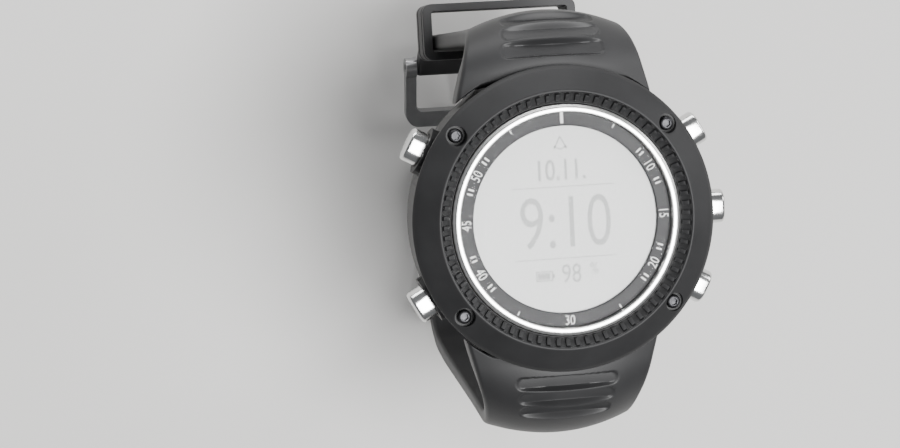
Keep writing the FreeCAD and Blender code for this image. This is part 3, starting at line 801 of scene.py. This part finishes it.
def make_strap_skin(side):
    """The strap as one net of quads drawn round it, finer over the grooves, the slots and the rounded edges."""
    halves = [0, 0.06, 0.12, 0.17] + [0.2 + 0.02 * k for k in range(29)]
    halves += [0.8, 0.85, 0.9, 0.94, 0.97, EDGE_START]
    round_steps = (0.12, 0.25, 0.38, 0.49, 0.56, EDGE_RADIUS)
    halves += [EDGE_START + (1 - EDGE_START) * step / EDGE_RADIUS for step in round_steps]
    # Round the section: across the outer side, then back across the inner side.
    top = [-h for h in reversed(halves[1:])] + halves
    columns = [(a, True) for a in top] + [(a, False) for a in reversed(top)]
    columns.append(columns[0])
    # Fine rows over the grooves, and again over the slots or at the tongue's opening.
    rows = [0.5 + 0.1 * k for k in range(46)] + [5.3 + 0.3 * k for k in range(15)]
    if side == "hole":
        rows += [rows[-1] + 0.6 * k for k in range(1, 58)]
        rows += [rows[-1] + 0.22 * k for k in range(1, 230)]
        rows = [s for s in rows if s < TIP]
        rows += [TIP + TIP_LENGTH * math.sin(math.radians(a)) for a in range(2, 91, 4)]
    else:
        rows += [rows[-1] + 0.6 * k for k in range(1, 88)]
        rows += [61.9 + 0.3 * k for k in range(1, 14)]
        rows = [s for s in rows if s < BAR_REACH]
        rows += [BAR_REACH + BAR_END_RADIUS * math.sin(math.radians(a)) for a in range(0, 91, 9)]
    # The root's end face and its rounded rim, then even rows up to where all lines reach the same distance.
    starts = [(0.0, 0.0), (0.0, 0.5)] + [(d, 1.0) for d in (0.0, 0.02, 0.06, 0.12, 0.2, 0.3, 0.4, 0.6)]
    net = []
    for distance, squash in starts:
        for a in columns:
            s = strap_root(a, squash, side, distance)
            net.append(strap_point(s + distance, a, squash, side, distance))
    rim = [strap_root(a, 1.0, side, 0.6) + 0.6 for a in columns]
    for k in range(1, 44):
        net += [strap_point(r + (rows[0] - r) * k / 44, a, 1.0, side) for r, a in zip(rim, columns)]
    for s in rows:
        net += [strap_point(s, a, 1.0, side) for a in columns]
    if side == "hole":
        net += [strap_point(rows[-1], a, 0.0, side) for a in columns]
    deselect()
    bpy.ops.mesh.primitive_grid_add(x_subdivisions=len(columns) - 1,
                                    y_subdivisions=len(net) // len(columns) - 1)
    skin = bpy.context.object
    for vertex, place in zip(skin.data.vertices, net):
        vertex.co = place * MM
    bpy.ops.object.mode_set(mode="EDIT")
    bpy.ops.mesh.select_all(action="SELECT")
    bpy.ops.mesh.remove_doubles(threshold=2e-6)
    bpy.ops.mesh.normals_make_consistent(inside=False)
    bpy.ops.object.mode_set(mode="OBJECT")
    return skin


def root_pockets():
    """Room under the root for the case's two lugs, and the pin's bore."""
    outline = [(27.35, 6.71), (18.0, 8.56), (18.0, -4.44), (22.6, -4.44), (27.9, 2.56)]
    lug_width, lug_round, pin_bore = 3.6, 2.15, 0.93
    pockets = []
    for x in (6.2, -9.8):
        pocket = prism(outline, x, x + lug_width)
        lug_eye = rod(lug_round, (x, PIN_Y, PIN_Z), (x + lug_width, PIN_Y, PIN_Z), 64)
        carve(pocket, lug_eye, operation="UNION")
        pockets.append(pocket)
    return pockets + [rod(pin_bore, (-12.7, PIN_Y, PIN_Z), (12.7, PIN_Y, PIN_Z))]


def slot_cutter(s):
    """A rod pulled out sideways, through the strap at s."""
    cutter = rod(SLOT_RADIUS, (0, 0, -5), (0, 0, 5))
    for vertex in cutter.data.vertices:
        vertex.co.x += math.copysign(SLOT_HALF_STRAIGHT * MM, vertex.co.x)
    return laid(cutter, s, "hole")


def make_straps():
    """The two halves: the upper one ends at the buckle's bar, the lower one is turned round to six o'clock."""
    upper = make_strap_skin("buckle")
    y, z, _ = strap_line(BAR_REACH, "buckle")
    tongue_gap = laid(bar((TONGUE_GAP, 8.0, 8.0), (0, 1.2, 0)), BAR_REACH, "buckle")
    bar_bore = rod(BAR_BORE, (-14, y, z), (14, y, z))
    carve(upper, *root_pockets(), tongue_gap, bar_bore, solver="MANIFOLD")
    smooth(upper, 38)
    named("strap_upper_moulded", "strap", "strap_buckle_side", "strap_buckle_side")
    wear(upper, ELASTOMER)
    lower = make_strap_skin("hole")
    carve(lower, *root_pockets(), joined([slot_cutter(s) for s in SLOTS]), solver="MANIFOLD")
    spun(lower, 180)
    smooth(lower, 38)
    named("strap_lower_moulded", "strap", "strap_hole_side", "strap_hole_side")
    wear(lower, ELASTOMER)


def rounded_block(size, centre, corner, axis):
    """A block whose four edges along one axis are rounded."""
    block = bar(size, centre)
    round_along(block, axis, corner)
    return block


def make_keeper():
    """Moulded loop round the strap, with two shallow grooves round its outside."""
    across, along, height = 0, 1, 1.6
    loop = rounded_block((27.9, 7.0, 10.0), (0, 0, height), 1.6, along)
    carve(loop, rounded_block((24.7, 9.0, 7.2), (0, 0, height), 0.5, along))
    soften(loop, 0.4, 4, 50)
    for end in (-1.9, 1.9):
        groove = rounded_block((29.0, 0.7, 12.0), (0, end, height), 0.2, across)
        carve(groove, rounded_block((27.4, 2.0, 9.5), (0, end, height), 1.45, along))
        carve(loop, groove)
    flatten(laid(loop, 44.0, "buckle"), 38)
    named("keeper_loop", "keeper", "keeper", "keeper")
    wear(loop, ELASTOMER)


def on_bar(obj):
    """Moves a piece drawn about the buckle bar, +Y towards the cross-bar, to the strap's end."""
    return laid(obj, BAR_REACH, "buckle", math.radians(164.0))


def make_buckle_frame():
    """Plate with a rounded window, open towards the strap, and two eyes on the buckle bar."""
    frame_plate = rounded_block((27.4, 13.4, 2.2), (0, 4.8, 0), 2.6, 2)
    carve(frame_plate, rounded_block((23.4, 11.0, 5.0), (0, 3.0, 0), 1.2, 2))
    for x in (-13.7, 11.7):
        carve(frame_plate, rod(1.9, (x, 0, 0), (x + 2.0, 0, 0), 64), operation="UNION")
    carve(frame_plate, rod(0.77, (-20, 0, 0), (20, 0, 0)))
    soften(frame_plate, 0.45, 4, 50)
    flatten(on_bar(frame_plate), 38)
    named("buckle_frame_blasted", "buckle", "buckle", "buckle_frame")
    wear(frame_plate, BLASTED_STEEL)


def make_tongue():
    """Bent blade that lies over the frame's cross-bar, with a knuckle round the buckle bar."""
    upper_side = [(0.0, 1.45), (2.6, 2.2), (12.3, 2.2), (12.9, 1.75)]
    lower_side = [(12.6, 1.15), (3.0, 1.15), (1.3, 0.2), (0.0, 0.9)]
    tongue = prism(upper_side + lower_side, -2.3, 2.3)
    soften(tongue, 0.3, 3, 35)
    knuckle = rod(1.5, (-2.3, 0, 0), (2.3, 0, 0), 64)
    soften(knuckle, 0.2, 3, 50)
    carve(tongue, knuckle, operation="UNION")
    carve(tongue, rod(BAR_BORE, (-3, 0, 0), (3, 0, 0)))
    flatten(on_bar(tongue), 38)
    named("tongue_blade", "buckle", "tongue", "buckle_tongue")
    wear(tongue, BLASTED_STEEL)


# ------------------------------------------------------------------ carried-over shapes
# Seen from outside: a smooth-shaded copy, by slot and material.
CARRIED = {
    "middle_case": ("case", NYLON_CASE_PAINTED_SHADE),
    "strap_pins": ("pin", PIN_STEEL),
    "buckle_bar": ("pin", PIN_STEEL),
}
# Inside the case: only a material.
HIDDEN = {
    "lens_gasket": SILICONE, "back_gasket": SILICONE, "button_seals": SILICONE,
    "backlight": CARRIER, "module_frame": CARRIER, "display_flex": POLYIMIDE,
    "main_board": BOARD, "board_chips": CHIP, "side_switches": NICKEL, "buzzer": NICKEL,
    "battery": FOIL, "gps_antenna": CERAMIC,
}


def carry_over():
    """Pieces whose CAD shape is kept."""
    bodies = {n: b for b, members in frame["record"]["behaviour"]["bodies"].items() for n in members}
    for node, (slot, mat) in CARRIED.items():
        obj = merged_copy(node)
        named(node + "_finished", slot, bodies[node], node)
        wear(obj, mat)
    for node, mat in HIDDEN.items():
        wear(NODES[node], mat)
    for name in BUTTON_ANGLES:
        wear(NODES[name + "_clip"], SPRING_STEEL)
        wear(NODES[name + "_spring"], SPRING_STEEL)


make_bezel()
make_bezel_teeth()
make_screws()
make_lens()
make_lens_ring()
make_dial_ring()
make_dial_print()
make_display()
make_segments()
for button_name, button_angle in BUTTON_ANGLES.items():
    make_button(button_name, button_angle)
make_back_cover()
make_back_screws()
make_contacts()
make_straps()
make_keeper()
make_buckle_frame()
make_tongue()
carry_over()


# ------------------------------------------------------------------ floor, light, camera (placed in metres)
def make_floor():
    """Plain pale floor under the watch's lowest point."""
    deselect()
    bpy.ops.mesh.primitive_plane_add(size=6.0, location=(0, 0, cad_box[0][2]))
    floor = bpy.context.object
    floor.name = "floor"
    mat, shader, place = new_material("pale_matt_paper", Roughness=0.85)
    patches = grain(mat, place, 220.0)
    join_colour(mat, shader, ramp(mat, patches, "Fac", ((0.3, "#c9c8c6"), (0.7, "#cfcecc"))))
    wear(floor, mat)


def soft_light(name, place, size, power):
    """A white panel that faces the watch."""
    deselect()
    bpy.ops.object.light_add(type="AREA", location=place)
    lamp = bpy.context.object
    lamp.name = name
    lamp.data.shape = "RECTANGLE"
    lamp.data.size, lamp.data.size_y = size
    lamp.data.energy = power
    lamp.rotation_euler = Vector(place).to_track_quat("Z", "Y").to_euler()


def make_lights():
    soft_light("overhead_softbox", (0.14, -0.09, 0.8), (0.42, 0.42), 15.0)
    soft_light("window_light", (-0.05, 0.75, 0.2), (0.9, 0.26), 6.0)
    soft_light("side_light", (0.6, 0.2, 0.3), (0.3, 0.3), 2.0)
    world = bpy.data.worlds.new("studio")
    bpy.context.scene.world = world
    world.use_nodes = True
    sky = world.node_tree.nodes["Background"]
    sky.inputs["Color"].default_value = linear("#d8dadd")
    sky.inputs["Strength"].default_value = 0.3


def make_camera():
    """Nearly overhead, a little towards nine and twelve o'clock, with the watch leaning slightly left."""
    lean_x, lean_y, roll = (math.radians(degrees) for degrees in (10.0, 6.0, 2.83))
    distance = 0.3875
    back = Vector((-math.sin(lean_x), math.sin(lean_y), 0))
    back.z = math.sqrt(1 - back.length_squared)
    target = Vector((-0.01845, 0.00022, 0.008))
    right = (-back).cross(Vector((math.sin(roll), math.cos(roll), 0))).normalized()
    up = right.cross(-back)
    deselect()
    bpy.ops.object.camera_add()
    camera = bpy.context.object
    place = target + back * distance
    camera.matrix_world = Matrix.Translation(place) @ Matrix((right, up, back)).transposed().to_4x4()
    camera.data.lens = 96.0
    camera.data.sensor_width = 36.0
    camera.data.clip_start = 0.01
    bpy.context.scene.camera = camera


make_floor()
make_lights()
make_camera()
